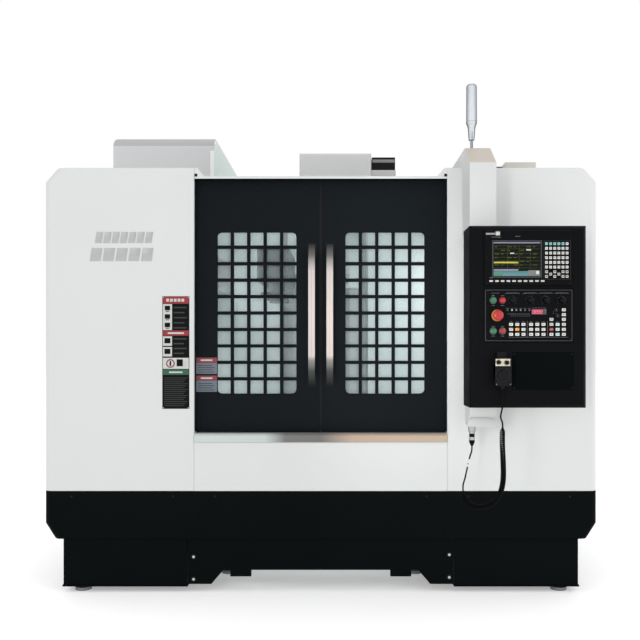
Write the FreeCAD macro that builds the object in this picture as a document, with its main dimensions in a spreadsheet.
import FreeCAD, Part
import math
import os

# Vertical CNC machining centre, millimetres, +Z up, front facing -Y.
# Origin: centre of the footprint, on the floor.

doc = FreeCAD.newDocument("MachiningCentre")
sheet = doc.addObject("Spreadsheet::Sheet", "Sizes")

SIZES = [
    ("half_wide", 1312), ("front_y", -800), ("back_y", 1000), ("wall", 20),
    ("top_z", 2012), ("band_low", 254), ("band_high", 480), ("bay_half", 600),
    ("corner_round", 34), ("top_cut_x", 57), ("top_cut_z", 64),
    ("low_cut_x", 46), ("low_cut_z", 72),
    ("panel_high", 712), ("sill_high", 754),
    ("door_front", -755), ("door_thick", 30), ("door_low", 757), ("door_high", 1971),
    ("door_reach", 640), ("door_gap", 1),
    ("win_in", 118), ("win_out", 497), ("win_low", 939), ("win_high", 1713),
    ("cell", 63), ("pitch", 79), ("win_cut", 22),
    ("grip_in", 27), ("grip_wide", 32), ("grip_low", 980), ("grip_high", 1657),
    ("grip_out", 60), ("grip_slope", 75), ("grip_thick", 9),
    ("bed_half", 560), ("bed_front", -560), ("bed_back", 940), ("bed_low", 90),
    ("bed_high", 470), ("way_high", 580), ("pad_r", 39), ("pad_high", 16),
    ("col_half", 265), ("col_front", 500), ("col_back", 880), ("col_low", 560),
    ("col_high", 2120), ("zway_thick", 29),
    ("work_y", -100), ("saddle_half", 480), ("saddle_deep", 190), ("saddle_low", 580.6),
    ("saddle_high", 730), ("xway_high", 760),
    ("table_half", 500), ("table_deep", 250), ("table_low", 762), ("table_high", 880),
    ("slot_wide", 18), ("slot_low", 850), ("slot_under", 32), ("slot_step", 80),
    ("head_half", 150), ("head_front", -250), ("head_low", 1560), ("head_high", 1900),
    ("nose_low", 1480), ("nose_r", 90), ("spindle_r", 45), ("spindle_bore", 45.05),
    ("taper_mouth", 22.225), ("taper_end", 12.745), ("taper_deep", 65),
    ("cover_left", -138), ("cover_right", 274), ("cover_front", -50), ("cover_back", 400),
    ("cover_top", 2274),
    ("mag_left", -1193), ("mag_right", -617), ("mag_front", -100), ("mag_back", 960),
    ("mag_low", 1500), ("mag_top", 2353), ("mag_y", 320), ("mag_z", 1915),
    ("mag_r", 300), ("pot_r", 30),
    ("swap_x", -265), ("swap_reach", 265),
    ("cab_half", 620), ("cab_low", 300), ("cab_high", 2000), ("cab_back", 1200),
    ("arm_left", 669), ("arm_right", 790), ("arm_front", -1006), ("arm_low", 1690),
    ("arm_top", 2087), ("arm_edge_y", -870), ("arm_edge_z", 1989), ("duct_back", -300),
    ("box_left", 642), ("box_right", 1138), ("box_low", 903), ("box_high", 1679),
    ("box_front", -1171), ("box_bevel", 13), ("stub_low", 806),
    ("unit_front", -1181), ("panel_front", -1179),
    ("pend_left", 739), ("pend_right", 808), ("pend_low", 998), ("pend_high", 1117),
    ("pend_front", -1221), ("pend_back", -1173),
    ("lead_r", 3.5), ("coil_r", 12.5),
]


class Size:
    """A length with the expression that drives it."""

    def __init__(self, value, text):
        self.value, self.text = float(value), text

    @staticmethod
    def of(other):
        return other if isinstance(other, Size) else Size(other, repr(float(other)))

    def __add__(self, other):
        other = Size.of(other)
        return Size(self.value + other.value, "(%s + %s)" % (self.text, other.text))

    def __radd__(self, other):
        return Size.of(other) + self

    def __sub__(self, other):
        other = Size.of(other)
        return Size(self.value - other.value, "(%s - %s)" % (self.text, other.text))

    def __rsub__(self, other):
        return Size.of(other) - self

    def __mul__(self, other):
        other = Size.of(other)
        return Size(self.value * other.value, "(%s * %s)" % (self.text, other.text))

    def __rmul__(self, other):
        return Size.of(other) * self

    def __neg__(self):
        return Size(-self.value, "(0 - %s)" % self.text)


for row, (name, value) in enumerate(SIZES, 1):
    sheet.set("A%d" % row, name)
    sheet.set("B%d" % row, str(value))
    sheet.setAlias("B%d" % row, name)
doc.recompute()
D = {name: Size(value, "Sizes.%s" % name) for name, value in SIZES}


def d(name):
    return D[name]


used = {}


def fresh(name):
    used[name] = used.get(name, 0) + 1
    return "%s_%d" % (name, used[name])


def bind(obj, prop, size):
    size = Size.of(size)
    obj.setExpression(prop, size.text)


def place(obj, x, y, z):
    bind(obj, "Placement.Base.x", x)
    bind(obj, "Placement.Base.y", y)
    bind(obj, "Placement.Base.z", z)


def box(x0, x1, y0, y1, z0, z1, name="block"):
    o = doc.addObject("Part::Box", fresh(name))
    for prop, low, high in (("Length", x0, x1), ("Width", y0, y1), ("Height", z0, z1)):
        bind(o, prop, Size.of(high) - low)
    place(o, x0, y0, z0)
    return o


ROT = {
    "+z": FreeCAD.Rotation(),
    "-z": FreeCAD.Rotation(FreeCAD.Vector(1, 0, 0), 180),
    "+x": FreeCAD.Rotation(FreeCAD.Vector(0, 1, 0), 90),
    "-x": FreeCAD.Rotation(FreeCAD.Vector(0, 1, 0), -90),
    "+y": FreeCAD.Rotation(FreeCAD.Vector(1, 0, 0), -90),
    "-y": FreeCAD.Rotation(FreeCAD.Vector(1, 0, 0), 90),
}


def cyl(x, y, z, r, length, way="+z", name="round"):
    o = doc.addObject("Part::Cylinder", fresh(name))
    o.Placement = FreeCAD.Placement(FreeCAD.Vector(0, 0, 0), ROT[way])
    bind(o, "Radius", r)
    bind(o, "Height", length)
    place(o, x, y, z)
    return o


def cone(x, y, z, r1, r2, length, way="+z", name="taper"):
    o = doc.addObject("Part::Cone", fresh(name))
    o.Placement = FreeCAD.Placement(FreeCAD.Vector(0, 0, 0), ROT[way])
    bind(o, "Radius1", r1)
    bind(o, "Radius2", r2)
    bind(o, "Height", length)
    place(o, x, y, z)
    return o


def join(items, name="join"):
    if len(items) == 1:
        return items[0]
    o = doc.addObject("Part::MultiFuse", fresh(name))
    o.Shapes = items
    return o


def group(items, name="group"):
    """Separate solids that are kept apart in one piece's file."""
    o = doc.addObject("Part::Compound", fresh(name))
    o.Links = items
    return o


def cut(base, tools, name="cut"):
    o = doc.addObject("Part::Cut", fresh(name))
    o.Base = base
    o.Tool = join(tools)
    return o


def prism(plane, points, low, high, name="profile"):
    """A padded sketch. XY sketches run up Z, XZ ones along Y, YZ ones along X."""
    body = doc.addObject("PartDesign::Body", fresh(name))
    sketch = body.newObject("Sketcher::SketchObject", fresh(name + "_sketch"))
    role = {"xy": "XY_Plane", "xz": "XZ_Plane", "yz": "YZ_Plane"}[plane]
    base = [f for f in body.Origin.OriginFeatures if f.Role == role][0]
    sketch.AttachmentSupport = [(base, "")]
    sketch.MapMode = "FlatFace"
    points = [(Size.of(u), Size.of(v)) for u, v in points]
    low, high = Size.of(low), Size.of(high)
    count = len(points)
    for i in range(count):
        a, b = points[i], points[(i + 1) % count]
        sketch.addGeometry(Part.LineSegment(
            FreeCAD.Vector(a[0].value, a[1].value, 0),
            FreeCAD.Vector(b[0].value, b[1].value, 0)), False)
    import Sketcher
    for i in range(count):
        sketch.addConstraint(Sketcher.Constraint("Coincident", i, 2, (i + 1) % count, 1))
    for i, (u, v) in enumerate(points):
        k = sketch.addConstraint(Sketcher.Constraint("DistanceX", -1, 1, i, 1, u.value))
        sketch.setExpression("Constraints[%d]" % k, u.text)
        k = sketch.addConstraint(Sketcher.Constraint("DistanceY", -1, 1, i, 1, v.value))
        sketch.setExpression("Constraints[%d]" % k, v.text)
    start = -high if plane == "xz" else low
    sketch.setExpression("AttachmentOffset.Base.z", start.text)
    pad = body.newObject("PartDesign::Pad", fresh(name + "_pad"))
    pad.Profile = sketch
    pad.setExpression("Length", (high - low).text)
    return body


def soften(base, radius, wanted, kind="Part::Fillet", name="soft"):
    """Round or chamfer the edges that the test picks."""
    doc.recompute()
    o = doc.addObject(kind, fresh(name))
    o.Base = base
    radius = float(radius.value if isinstance(radius, Size) else radius)
    rows = []
    for i, edge in enumerate(base.Shape.Edges, 1):
        b = edge.BoundBox
        if wanted(b, edge):
            rows.append((i, radius, radius))
    if not rows:
        raise RuntimeError("no edge to soften on " + base.Name)
    o.Edges = rows
    return o


def near(a, b):
    return abs(a - (b.value if isinstance(b, Size) else b)) < 0.05


NODES = []


def node(label, obj):
    obj.Label = label
    NODES.append((label, obj))
    return obj


# ---------------------------------------------------------------- bed and column
bed = prism("xz", [
    (-d("bed_half"), d("bed_low")), (d("bed_half"), d("bed_low")), (d("bed_half"), 330),
    (420, d("bed_high")), (-420, d("bed_high")), (-d("bed_half"), 330)],
    d("bed_front"), d("bed_back"), "bed")
bed_parts = [bed]
for side in (-1, 1):
    bed_parts.append(box(side * 310 - 40, side * 310 + 40, d("bed_front"), 330,
                         d("bed_high") - 5, d("way_high"), "y_way"))
    bed_parts.append(box(side * 480 - 70, side * 480 + 70, -540, -400, 60, d("bed_low") + 10, "foot_lug"))
    bed_parts.append(box(side * 480 - 70, side * 480 + 70, 760, 900, 60, d("bed_low") + 10, "foot_lug"))
bed_parts.append(box(-340, 340, 420, 920, d("bed_high") - 5, d("col_low"), "column_seat"))
node("bed_casting", join(bed_parts))

column = cut(box(-d("col_half"), d("col_half"), d("col_front"), d("col_back"), d("col_low"), d("col_high"), "column"),
             [box(-200, 200, 580, d("col_back") + 5, 720, 1960, "column_pocket")])
column = join([column] + [
    box(s * 180 - 25, s * 180 + 25, d("col_front") - d("zway_thick"), d("col_front") + 2, 700, 2080, "z_way")
    for s in (-1, 1)])
node("column_casting", column)

# Levelling pads: a round steel pad with a threaded stud and a nut under each foot.
pads = []


def pad_at(x, y, top):
    pads.append(join([
        cyl(x, y, 0, d("pad_r"), d("pad_high"), name="pad"),
        cyl(x, y, d("pad_high") - 2, 12, Size.of(top) - d("pad_high") + 2, name="stud"),
        cyl(x, y, d("pad_high") - 1, 19, 8, name="nut")]))


for x in (-1142, 1142):
    for y in (-740, 110, 925):
        pad_at(x, y, 26)
for x in (-480, 480):
    for y in (-470, 830):
        pad_at(x, y, 60)
node("leveling_feet", group(pads))

# Side base tanks, dark boxes with a lower flange.
tanks = []
for s in (-1, 1):
    lo, hi = (634, 1222) if s > 0 else (-1222, -634)
    tank = join([
        box(lo, hi, -792, 978, 26, d("band_low"), "tank"),
        box(lo - 4, hi + 4, -796, 982, 26, 34, "tank_flange")])
    tanks.append(tank)
node("side_base_tanks", group(tanks))

# ---------------------------------------------------------------- dark base band with floor pan
W, F, B = d("half_wide"), d("front_y"), d("back_y")
outer = prism("xz", [
    (-W, d("band_high")), (-W, d("band_low") + d("low_cut_z")), (-W + d("low_cut_x"), d("band_low")),
    (W - d("low_cut_x"), d("band_low")), (W, d("band_low") + d("low_cut_z")), (W, d("band_high"))],
    F, B, "band")
outer = soften(outer, d("corner_round"), lambda b, e: near(b.YMin, F) and near(b.YMax, F)
               and (near(abs(b.XMin), W) or near(abs(b.XMax), W)) and b.ZMax - b.ZMin > 40)
hollow = prism("xz", [
    (-1290, 466), (-1290, 334), (-1240, 250), (1240, 250), (1290, 334), (1290, 466)],
    F + 20, B - 20, "band_hollow")
well = prism("xy", [(-566, -566), (566, -566), (566, 950), (-566, 950)], 440, 500, "pan_well")
node("base_skirt", cut(outer, [hollow, well]))

# Front cover between the tanks, with feet, and the small fixing bolts.
cover = prism("xz", [
    (-630, 37), (-520, 37), (-462, 104), (-430, 104), (-430, 73), (-330, 73), (-330, 104),
    (330, 104), (330, 73), (430, 73), (430, 104), (462, 104), (520, 37), (630, 37),
    (630, 254), (-630, 254)], -792, -776, "centre_cover")
node("center_base_cover", cover)
node("base_cover_bolts", group([
    join([cyl(x, -792, z, 9, 7, "-y", "bolt"), cyl(x, -792, z, 13, 2, "-y", "washer")])
    for x, z in ((-603, 168), (-603, 62), (609, 178), (609, 71))]))

# ---------------------------------------------------------------- enclosure


def enclosure(s, label):
    T, H = d("top_z"), d("band_high")
    pts = [(s * W, H), (s * W, T - d("top_cut_z")), (s * (W - d("top_cut_x")), T),
           (s * d("bay_half"), T), (s * d("bay_half"), H)]
    if s < 0:
        pts = pts
    shell = prism("xz", pts, F, B, label)
    shell = soften(shell, d("corner_round"),
                   lambda b, e: near(b.YMin, F) and near(b.YMax, F)
                   and (near(s * b.XMin, W) or near(s * b.XMax, W)) and b.ZMax - b.ZMin > 40)
    inner = prism("xz", [(s * (W - 20), H - 5), (s * (W - 20), T - 72), (s * (W - 65), T - 20),
                         (s * (d("bay_half") - 10), T - 20), (s * (d("bay_half") - 10), H - 5)],
                  F + 20, B - 20, label + "_room")
    tools = [inner]
    if s < 0:
        tools.append(box(d("mag_left") - 8, -d("bay_half") + 5, d("mag_front") - 8, d("mag_back") + 8,
                         T - 40, T + 10, "roof_notch"))
    return cut(shell, tools)


node("left_enclosure", enclosure(-1, "left_shell"))
node("right_enclosure", enclosure(1, "right_shell"))

node("lower_front_panel", prism("yz", [
    (F, d("band_high")), (F, d("panel_high")), (F + 60, d("panel_high")), (F + 60, d("panel_high") - 12),
    (F + 12, d("panel_high") - 12), (F + 12, d("band_high"))], -599, 599, "front_panel"))
node("door_sill", prism("yz", [
    (-806, 712.2), (-806, 744), (-796, 754), (-700, 754), (-700, 712.2)], -599, 599, "sill"))
header = [prism("yz", [
    (-795, 1961), (-760, 1961), (-760, 1973), (-695, 1973), (-695, 1981), (-760, 1981), (-795, 1973)],
    -600, 600, "header")]
for side in (-1, 1):
    header.append(prism("xz", [(side * 600, 1961), (side * 553, 1961), (side * 553, 1974),
                               (side * 586, 2012), (side * 600, 2012)], -795, -778, "gusset"))
node("door_header", join(header))
node("rear_guard", group([
    prism("xz", [(-1290, 482), (-345, 482), (-345, 565), (-275, 565), (-275, 1528), (-372, 1528), (-372, 1722), (-275, 1722), (-275, 1985), (-600, 1985), (-600, 1490),
                 (-1205, 1490), (-1205, 1880), (-1290, 1880)], 452, 464, "guard_left"),
    prism("xz", [(275, 565), (345, 565), (345, 482), (1290, 482), (1290, 1880), (1245, 1985), (275, 1985)], 452, 464, "guard_right")]))
node("roof_junction_box", box(939, 1098, -500, -340, 2012, 2112, "roof_box"))

# ---------------------------------------------------------------- doors


def ring(a, b, lo, hi, c):
    """A rectangle's outline with rounded corners of radius c."""
    q = [(0, 1), (0.134, 0.5), (0.5, 0.134), (1, 0)]
    back = q[::-1]
    return ([(a + c * u, lo + c * v) for u, v in q] + [(b - c * u, lo + c * v) for u, v in back]
            + [(b - c * u, hi - c * v) for u, v in q] + [(a + c * u, hi - c * v) for u, v in back])


def door(s, side):
    y0, y1 = d("door_front"), d("door_front") + d("door_thick")
    gap, reach = d("door_gap"), d("door_reach")
    slab = prism("xz", [(s * gap, d("door_low")), (s * reach, d("door_low")),
                        (s * reach, d("door_high")), (s * gap, d("door_high"))], y0, y1, side + "_slab")
    a, b, lo, hi, c = d("win_in"), d("win_out"), d("win_low"), d("win_high"), d("win_cut")
    opening = prism("xz", [(s * x, z) for x, z in ring(a, b, lo, hi, c)], y0 - 5, y1 + 5, side + "_opening")
    rebate = prism("xz", [(s * (a - 12), lo - 12), (s * (b + 12), lo - 12),
                          (s * (b + 12), hi + 12), (s * (a - 12), hi + 12)],
                   y0 + 14, y1 + 5, side + "_rebate")
    node(side + "_door", cut(slab, [opening, rebate]))
    plate = prism("xz", [(s * (a - 11), lo - 11), (s * (b + 11), lo - 11),
                         (s * (b + 11), hi + 11), (s * (a - 11), hi + 11)],
                  y0 + 14, y0 + 18, side + "_plate")
    front = prism("xz", [(s * x, z) for x, z in ring(a + 0.5, b - 0.5, lo + 0.5, hi - 0.5, c)],
                  y0 + 3, y0 + 15, side + "_front")
    holes = []
    for col in range(5):
        for row in range(10):
            x = a + col * d("pitch")
            z = lo + row * d("pitch")
            lo_x = x if s > 0 else -(x + d("cell"))
            holes.append(box(lo_x, lo_x + d("cell"), y0 - 5, y0 + 25, z, z + d("cell"), side + "_hole"))
    node(side + "_window_grille", cut(join([plate, front]), holes))
    glass = prism("xz", [(s * (a - 11), lo - 11), (s * (b + 11), lo - 11),
                         (s * (b + 11), hi + 11), (s * (a - 11), hi + 11)],
                  y0 + 18, y0 + 26, side + "_pane")
    node(side + "_window_glass", glass)
    g, t, sl, out = y0, d("grip_thick"), d("grip_slope"), d("grip_out")
    zl, zh = d("grip_low"), d("grip_high")
    profile = [(g, zl), (g - out + 5, zl + sl - 10), (g - out, zl + sl + 12), (g - out, zh - sl - 12),
               (g - out + 5, zh - sl + 10), (g, zh), (g, zh - 16),
               (g - out + t + 4, zh - sl), (g - out + t, zh - sl - 16), (g - out + t, zl + sl + 16),
               (g - out + t + 4, zl + sl), (g, zl + 16)]
    x0 = s * d("grip_in") if s > 0 else -(d("grip_in") + d("grip_wide"))
    node(side + "_door_handle", prism("yz", profile, x0, x0 + d("grip_wide"), side + "_grip"))


door(-1, "left")
door(1, "right")

# ---------------------------------------------------------------- saddle and table
WY = d("work_y")
saddle_parts = [box(-d("saddle_half"), d("saddle_half"), WY - d("saddle_deep"), WY + d("saddle_deep"),
                    600, d("saddle_high"), "saddle")]
for s in (-1, 1):
    saddle_parts.append(box(s * 310 - 60, s * 310 + 60, WY - d("saddle_deep"), WY + d("saddle_deep"),
                            d("saddle_low"), 610, "way_block"))
    saddle_parts.append(box(-d("saddle_half"), d("saddle_half"), WY + s * 130 - 30, WY + s * 130 + 30,
                            d("saddle_high") - 5, d("xway_high"), "x_way"))
node("saddle", join(saddle_parts))

table = prism("xz", [(-d("table_half"), d("table_low") + 30), (-440, d("table_low")), (440, d("table_low")),
                     (d("table_half"), d("table_low") + 30), (d("table_half"), d("table_high")),
                     (-d("table_half"), d("table_high"))],
              WY - d("table_deep"), WY + d("table_deep"), "table")
slots = []
for k in range(-2, 3):
    y = WY + k * d("slot_step")
    slots.append(box(-510, 510, y - 0.5 * d("slot_wide"), y + 0.5 * d("slot_wide"), 845, 885, "slot"))
    slots.append(box(-510, 510, y - 0.5 * d("slot_under"), y + 0.5 * d("slot_under"), 838, 852, "slot_under"))
node("table", cut(table, slots))

# ---------------------------------------------------------------- head
HX = d("head_half")
head = join([
    box(-HX, HX, d("head_front"), 432, d("head_low"), d("head_high"), "head"),
    box(-235, 235, 428, 450, d("head_low") - 20, 1990, "z_carriage"),
    box(-235, -125, 446, 470.4, d("head_low") - 20, 1990, "z_shoe"),
    box(125, 235, 446, 470.4, d("head_low") - 20, 1990, "z_shoe"),
    cyl(0, WY, d("nose_low") + 6, d("nose_r"), 100, name="nose")])
node("head_casting", cut(head, [cyl(0, WY, 1400, d("spindle_bore"), 600, name="spindle_bore")]))
cover_outer = box(d("cover_left"), d("cover_right"), d("cover_front"), d("cover_back"),
                  d("head_high") + 1, d("cover_top"), "head_cover")
cover_outer = soften(cover_outer, 14, lambda b, e: (near(b.ZMin, d("cover_top")) and near(b.YMax, d("cover_front")))
                     or (b.ZMax - b.ZMin > 50 and near(b.YMax, d("cover_front"))))
cover_inner = box(d("cover_left") + 8, d("cover_right") - 8, d("cover_front") + 8, d("cover_back") - 8,
                  d("head_high") - 10, d("cover_top") - 8, "cover_room")
node("head_cover", cut(cover_outer, [cover_inner]))
node("spindle_motor", join([
    box(-30, 166, 70, 266, d("head_high"), d("head_high") + 250, "motor"),
    cyl(68, 168, d("head_high") + 245, 70, 60, name="fan"),
]))
node("head_valve_block", join([
    box(274, 414, -40, 60, 2139, 2179, "manifold"),
    box(278, 385, -40, 60, 2175, 2253, "valve")]))
spindle = join([cyl(0, WY, d("nose_low"), d("spindle_r"), 440, name="spindle"),
                cyl(0, WY, d("nose_low"), 60, 5.5, name="spindle_flange")])
keys = [box(s * 34 - 8, s * 34 + 8, WY - 8, WY + 8, d("nose_low") - 8, d("nose_low") + 3, "drive_key") for s in (-1, 1)]
spindle = cut(join([spindle] + keys), [
    cone(0, WY, d("nose_low"), d("taper_mouth"), d("taper_end"), d("taper_deep"), name="taper_bore"),
    cyl(0, WY, d("nose_low") - 10, d("taper_mouth"), 10.001, name="taper_mouth"),
    cyl(0, WY, d("nose_low") + 60, 12, 400, name="draw_bore")])
node("spindle", spindle)

# ---------------------------------------------------------------- tool changer
mag_outer = box(d("mag_left"), d("mag_right"), d("mag_front"), d("mag_back"), d("mag_low"), d("mag_top"), "mag_cover")
mag_outer = soften(mag_outer, 60, lambda b, e: b.XMax - b.XMin > 300 and near(b.ZMin, d("mag_top")) and near(b.YMax, d("mag_front")))
mag_outer = soften(mag_outer, 18, lambda b, e: near(b.XMax, d("mag_left")) and (
    (near(b.YMax, d("mag_front")) and b.ZMax - b.ZMin > 300) or (near(b.ZMin, d("mag_top")) and b.YMax - b.YMin > 300)))
mag_room = box(d("mag_left") + 10, d("mag_right") + 20, d("mag_front") + 10, d("mag_back") - 10,
               d("mag_low") + 10, d("mag_top") - 10, "mag_room")
mag_room = soften(mag_room, 50, lambda b, e: b.XMax - b.XMin > 300 and near(b.ZMin, d("mag_top") - 10) and near(b.YMax, d("mag_front") + 10))
mag_side = box(d("mag_right") - 10, d("mag_right"), d("mag_front") + 8, d("mag_back") - 8,
               1700, d("mag_top") - 8, "mag_side")
mag_side = soften(mag_side, 52, lambda b, e: b.XMax - b.XMin > 5 and near(b.ZMin, d("mag_top") - 8) and near(b.YMax, d("mag_front") + 8))
node("magazine_cover", join([cut(mag_outer, [mag_room]), mag_side]))

MX = -700
pots = [cyl(MX - 30, d("mag_y"), d("mag_z"), 342, 24, "+x", "mag_disc"),
        cyl(MX - 8, d("mag_y"), d("mag_z"), 50, 50, "+x", "mag_hub")]
for i in range(20):
    a = math.radians(18 * i)
    py = d("mag_y") + d("mag_r") * round(math.cos(a), 6)
    pz = d("mag_z") + d("mag_r") * round(math.sin(a), 6)
    pots.append(cyl(MX - 29, py, pz, d("pot_r"), 90, "-x", "pot"))
    pots.append(cyl(MX - 100, py, pz, 16, 150, "-x", "tool"))
node("tool_magazine", join(pots))

node("atc_gearbox", join([
    box(-365, -190, -200, 412, 1530, 1720, "changer_case"),
    cyl(d("swap_x"), WY, 1472, 48, 60, name="changer_neck"),
    box(-360, -265, 400, 620, 1540, 1710, "changer_bracket")]))
swap = [cyl(d("swap_x"), WY, 1425, 52, 40, name="swap_hub"),
        cyl(d("swap_x"), WY, 1460, 24, 11.5, name="swap_shaft"),
        box(d("swap_x") - 32, d("swap_x") + 32, WY - 220, WY + 220, 1428, 1452, "swap_beam")]
grips = []
for s in (-1, 1):
    y = WY + s * d("swap_reach")
    swap.append(cyl(d("swap_x"), y, 1428, 62, 24, name="swap_claw"))
    grips.append(cyl(d("swap_x"), y, 1420, 34, 40, name="claw_throat"))
    lo, hi = (y, y + 80) if s > 0 else (y - 80, y)
    sign = 1 if s > 0 else -1
    grips.append(box(d("swap_x"), d("swap_x") + 80, y - 34, y + 34, 1420, 1460, "claw_mouth"))
node("atc_arm", cut(join(swap), grips))

node("z_axis_motor", join([
    box(-75, 75, 620, 770, d("col_high"), d("col_high") + 24, "motor_flange"),
    box(-65, 65, 630, 760, d("col_high") + 22, d("col_high") + 150, "motor_case"),
    box(-48, 48, 647, 743, d("col_high") + 148, d("col_high") + 182, "encoder")]))

# ---------------------------------------------------------------- electrical cabinet
cab = cut(box(-d("cab_half"), d("cab_half"), B, d("cab_back"), d("cab_low"), d("cab_high"), "cabinet"),
          [box(-d("cab_half") + 20, d("cab_half") - 20, B + 15, d("cab_back") + 10,
               d("cab_low") + 20, d("cab_high") - 20, "cabinet_room")])
HINGES = (430, 1110, 1790)
knuckles = []
for z in HINGES:
    knuckles += [cyl(626, 1219, z + 41, 5, 40, name="knuckle"), box(622, 630, 1150, 1219, z + 41, z + 81, "hinge_tab"),
                 box(618, 631, 1150, 1190, z + 35, z + 87, "hinge_leaf")]
node("electrical_cabinet", join([cab] + knuckles))
leaf = box(-d("cab_half"), d("cab_half"), d("cab_back") + 1, d("cab_back") + 25, d("cab_low") + 2, d("cab_high") - 2, "leaf")
vents = [box(-300 + 90 * k, -240 + 90 * k, d("cab_back") - 5, d("cab_back") + 30, 420 + 30 * j, 432 + 30 * j, "vent")
         for k in range(7) for j in range(3)]
leaf = cut(leaf, vents)
knuckles = []
for z in HINGES:
    knuckles += [cyl(626, 1219, z, 5, 40, name="knuckle"), box(615, 627, 1214.5, 1223.5, z, z + 40, "hinge_tab")]
node("cabinet_door", join([
    leaf] + knuckles + [ box(-580, -545, d("cab_back") + 24, d("cab_back") + 45, 1060, 1240, "door_pull"),
    cyl(-480, d("cab_back") + 24, 1500, 38, 10, "+y", "switch_plate"),
    box(-488, -472, d("cab_back") + 33, d("cab_back") + 45, 1468, 1532, "switch_lever")]))

# ---------------------------------------------------------------- console arm and lamp
arm = prism("yz", [
    (d("arm_front"), d("arm_low")), (d("arm_front"), d("arm_edge_z")), (d("arm_edge_y"), d("arm_top")),
    (d("duct_back"), d("arm_top")), (d("duct_back"), d("top_z")), (F, d("top_z")), (F, d("arm_low"))],
    d("arm_left"), d("arm_right"), "arm")
node("console_arm", arm)
lens = cyl(714, -800, 2224, 26, 180, name="lamp_lens")
lens = soften(lens, 12, lambda b, e: near(b.ZMin, 2404))
node("signal_lamp", group([join([
    cyl(714, -800, d("arm_top"), 20, 8, name="lamp_base"),
    cyl(714, -800, d("arm_top") + 6, 7, 60, name="lamp_stem"),
    cone(714, -800, 2141, 14, 18, 60, name="lamp_neck"),
    cone(714, -800, 2200, 18, 26, 24, name="lamp_seat")]), lens]))

# ---------------------------------------------------------------- swivelling console
BL, BR, BF = d("box_left"), d("box_right"), d("box_front")
case = box(BL, BR, BF, d("arm_front"), d("box_low"), d("box_high"), "case")
case = soften(case, d("box_bevel"), lambda b, e: near(b.YMin, BF) and near(b.YMax, BF), "Part::Chamfer")
room = box(BL + 18, BR - 18, BF + 18, d("arm_front") - 14, d("box_low") + 18, d("box_high") - 18, "case_room")
node("console_housing", cut(case, [
    room,
    box(711, 1065, BF - 5, BF + 25, 1431, 1649, "unit_window"),
    box(711, 1067, BF - 5, BF + 25, 1193, 1399, "panel_window")]))
stub = join([
    box(d("arm_left"), d("arm_right"), d("arm_front"), -886, d("stub_low"), 1686, "post"),
    cyl(729.5, -946, 1684, 50, 5.5, name="swivel_flange")])
node("console_column", stub)

unit = box(701, 1075, d("unit_front"), BF, 1421, 1659, "unit")
unit = soften(unit, 4, lambda b, e: near(b.YMin, d("unit_front")) and near(b.YMax, d("unit_front")), "Part::Chamfer")
node("display_unit", cut(unit, [box(739.5, 939, d("unit_front") - 2, d("unit_front") + 3, 1461, 1608, "screen_recess")]))

PF = d("panel_front")
round_holes = [(738.7, 1359.7, 12.0), (777.8, 1359.7, 12.0), (738.7, 1230, 12.0), (777.8, 1230, 12.0),
               (756, 1296, 10.05)]
knob_at = [("mode_knob", 820, 1360), ("feed_knob", 895, 1360), ("rapid_knob", 961, 1360),
           ("spindle_knob", 1029, 1360)]
op = box(701, 1077, PF, BF, 1183.5, 1408.5, "op_plate")
op = soften(op, 3, lambda b, e: near(b.YMin, PF) and near(b.YMax, PF), "Part::Chamfer")
node("operator_panel", cut(op, [cyl(x, PF - 5, z, r, 30, "+y", "button_hole") for x, z, r in round_holes]
                           + [cyl(x, PF - 5, z, 4.05, 30, "+y", "knob_hole") for _, x, z in knob_at]))


def button(label, x, z, r, out):
    cap = join([cyl(x, PF - out, z, r, out + 5, "+y", label),
                cyl(x, PF + 4, z, 7, 12, "+y", label + "_stem")])
    node(label, soften(cap, 1.5, lambda b, e: near(b.YMax, PF - out) and near(b.XMax - b.XMin, 2 * r)))


button("power_on_button", 738.7, 1359.7, 11, 10)
button("power_off_button", 777.8, 1359.7, 11, 10)
button("cycle_start_button", 738.7, 1230, 11, 10)
button("feed_hold_button", 777.8, 1230, 11, 10)
estop = join([cyl(756, PF - 34, 1296, 22, 16, "+y", "mushroom"),
              cyl(756, PF - 19, 1296, 10, 35, "+y", "mushroom_stem")])
node("e_stop_button", soften(estop, 5, lambda b, e: near(b.YMax, PF - 34) and near(b.XMax - b.XMin, 44)))
for label, x, z in knob_at:
    knob = join([cyl(x, PF - 20, z, 13, 19.5, "+y", label),
                 box(x - 2.5, x + 2.5, PF - 23, PF - 6, z - 13, z + 13, label + "_pointer"),
                 cyl(x, PF - 3, z, 4, 18, "+y", label + "_shaft")])
    node(label, knob)

# Keys, each a small raised block: screen soft keys, entry keys and the panel's clusters.
caps = []


def key(x, z, w, t, front):
    caps.append(box(x - w / 2, x + w / 2, front - 3, front, z - t / 2, z + t / 2, "cap"))


UF = d("unit_front")
for i in range(10):
    key(729.5 + 24.2 * i, 1441.5, 17, 9, UF)
for r in range(8):
    for c in range(6):
        x, z = 963.6 + 17.4 * c, 1599.5 - 19.8 * r
        if r == 7 and c in (1, 3):
            continue
        if r == 6 and c in (1, 3):
            z -= 10
        key(x, z, 13.4, 13.4, UF)
for x0 in (814, 898.8):
    for c in range(3):
        for r in range(3):
            key(x0 + 26.3 * c, 1258 - 21.1 * r, 18, 14, PF)
for c in range(3):
    for r in range(3):
        key(985 + 26.2 * c, 1258 - 21.1 * r, 18, 14, PF)
for x, z in ((985, 1279.4), (1037.4, 1319.8), (1037.4, 1299.4), (1037.4, 1279.4)):
    key(x, z, 18, 14, PF)
node("console_keys", group(caps))

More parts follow.
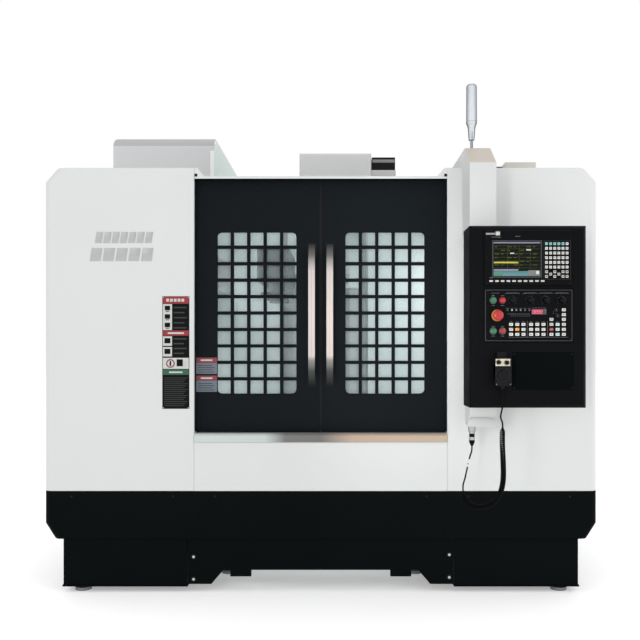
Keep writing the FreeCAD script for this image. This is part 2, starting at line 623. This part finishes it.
# ---------------------------------------------------------------- hand pendant
px0, px1, pz0, pz1 = d("pend_left"), d("pend_right"), d("pend_low"), d("pend_high")
shell = box(px0, px1, d("pend_front"), d("pend_back"), pz0, pz1, "pendant")
shell = soften(shell, 8, lambda b, e: b.YMax - b.YMin > 30 and (near(b.XMin, px0) or near(b.XMax, px1)))
pend = join([shell,
             box(753, 793, d("pend_back") - 14, d("pend_back") + 1.5, pz1 - 30, pz1 + 24, "hook"),
             cyl(774, -1197, pz0 + 2, 9, 14, "-z", "gland")])
pend = cut(pend, [cyl(x, d("pend_front") - 5, z, 3.05, 22, "+y", "selector_hole") for x, z in ((752.5, 1098.5), (786.5, 1096.5))]
           + [cyl(771, d("pend_front") - 5, 1044.6, 5.05, 25, "+y", "dial_hole")])
node("mpg_pendant", pend)
node("mpg_dial", join([
    cyl(771, -1233, 1044.6, 27, 11.5, "+y", "dial"),
    cyl(771, -1222, 1044.6, 5, 16, "+y", "dial_shaft"),
    cyl(771, -1245, 1062, 5, 13, "+y", "dial_grip")]))
for label, x, z in (("mpg_axis_knob", 752.5, 1098.5), ("mpg_scale_knob", 786.5, 1096.5)):
    node(label, join([cyl(x, -1235, z, 9, 13.5, "+y", label),
                      box(x - 1.8, x + 1.8, -1237, -1224, z - 9, z + 9, label + "_pointer"),
                      cyl(x, -1222, z, 3, 14, "+y", label + "_shaft")]))


# ---------------------------------------------------------------- curly cord
def route_wire(points):
    """Straight runs joined by tangent arcs, as large as the runs allow."""
    pts = [FreeCAD.Vector(*p) for p in points]
    edges, here, radii = [], pts[0], []
    for i in range(1, len(pts) - 1):
        a, b = pts[i] - pts[i - 1], pts[i + 1] - pts[i]
        turn = a.getAngle(b)
        room = 0.45 * min(a.Length, b.Length)
        radii.append(room / math.tan(turn / 2))
        start = pts[i] - a.normalize() * room
        end = pts[i] + b.normalize() * room
        r = radii[-1]
        bis = ((start + end) * 0.5 - pts[i]).normalize()
        centre = pts[i] + bis * (r / math.cos(turn / 2))
        mid = centre - bis * r
        edges.append(Part.LineSegment(here, start).toShape())
        edges.append(Part.Arc(start, mid, end).toShape())
        here = end
    edges.append(Part.LineSegment(here, pts[-1]).toShape())
    return Part.Wire(edges), radii


def tube(label, points, radius):
    wire, radii = route_wire(points)
    first = FreeCAD.Vector(*points[1]) - FreeCAD.Vector(*points[0])
    ring = Part.Wire([Part.Circle(FreeCAD.Vector(*points[0]), first, radius).toShape()])
    shape = wire.makePipeShell([ring], True, True)
    if shape.ShapeType != "Solid":
        shape = Part.Solid(shape)
    if shape.Volume < 0:
        shape.reverse()
    o = doc.addObject("Part::Feature", fresh(label))
    o.Shape = shape
    o.Placement = FreeCAD.Placement()
    node(label, o)
    print(label, "length %.1f" % wire.Length, "radii", ["%.0f" % r for r in radii],
          "volume ratio %.4f" % (shape.Volume / (math.pi * radius ** 2 * wire.Length)))


LEAD = [(774.0, -1197.0, 986.0), (773.9, -1197.6, 957.9), (774.6, -1197.2, 930.5), (773.8, -1196.8, 904.0), (768.4, -1196.5, 883.3), (765.2, -1196.0, 863.9), (775.7, -1195.3, 843.9), (775.3, -1194.0, 827.0)]
COIL = [(775.3, -1194.0, 827.0), (774.3, -1191.0, 786.6), (776.2, -1186.0, 735.3), (780.5, -1178.0, 683.4), (785.2, -1166.0, 630.6), (786.6, -1150.0, 580.9), (781.1, -1132.0, 536.9), (765.5, -1112.0, 500.7), (742.7, -1092.0, 474.0), (713.9, -1072.0, 459.4), (683.4, -1054.0, 458.3), (657.2, -1038.0, 469.9), (640.9, -1024.0, 491.1), (639.4, -1012.0, 518.5)]
PLUG_LEAD = [(639.4, -1012.0, 518.5), (638.1, -1001.6, 542.3), (649.4, -995.0, 570.0), (657.3, -985.0, 597.4), (665.3, -975.0, 625.1), (673.4, -965.0, 652.9), (682.4, -955.0, 676.8), (690.0, -947.0, 692.0), (690.0, -946.0, 713.0)]
tube("mpg_lead", LEAD, d("lead_r").value)
tube("mpg_coil", COIL, d("coil_r").value)
tube("plug_lead", PLUG_LEAD, d("lead_r").value)
node("cord_plug", join([
    cyl(690, -946, 713, 8, 20, name="plug_tail"),
    cyl(690, -946, 728, 13, 52, name="plug_body"),
    cyl(690, -946, 778, 17, 27.8, name="plug_ring")]))

# ---------------------------------------------------------------- checks and export
doc.recompute()
bad = [o.Name for o in doc.Objects if any(w in str(o.State) for w in ("Invalid", "Error"))]
if bad:
    raise RuntimeError("failed objects: %s" % bad)
os.makedirs("parts", exist_ok=True)
whole = FreeCAD.BoundBox()
for label, obj in NODES:
    shape = obj.Shape
    if shape.isNull() or not shape.isValid() or not shape.Solids:
        raise RuntimeError("bad shape: " + label)
    whole.add(shape.BoundBox)
for label, obj in NODES:
    obj.Shape.exportStep("parts/%s.step" % label)
print(len(NODES), "nodes", "box", [round(v, 2) for v in (
    whole.XMin, whole.XMax, whole.YMin, whole.YMax, whole.ZMin, whole.ZMax)])
print("volume m3", round(sum(o.Shape.Volume for _, o in NODES) / 1e9, 4))
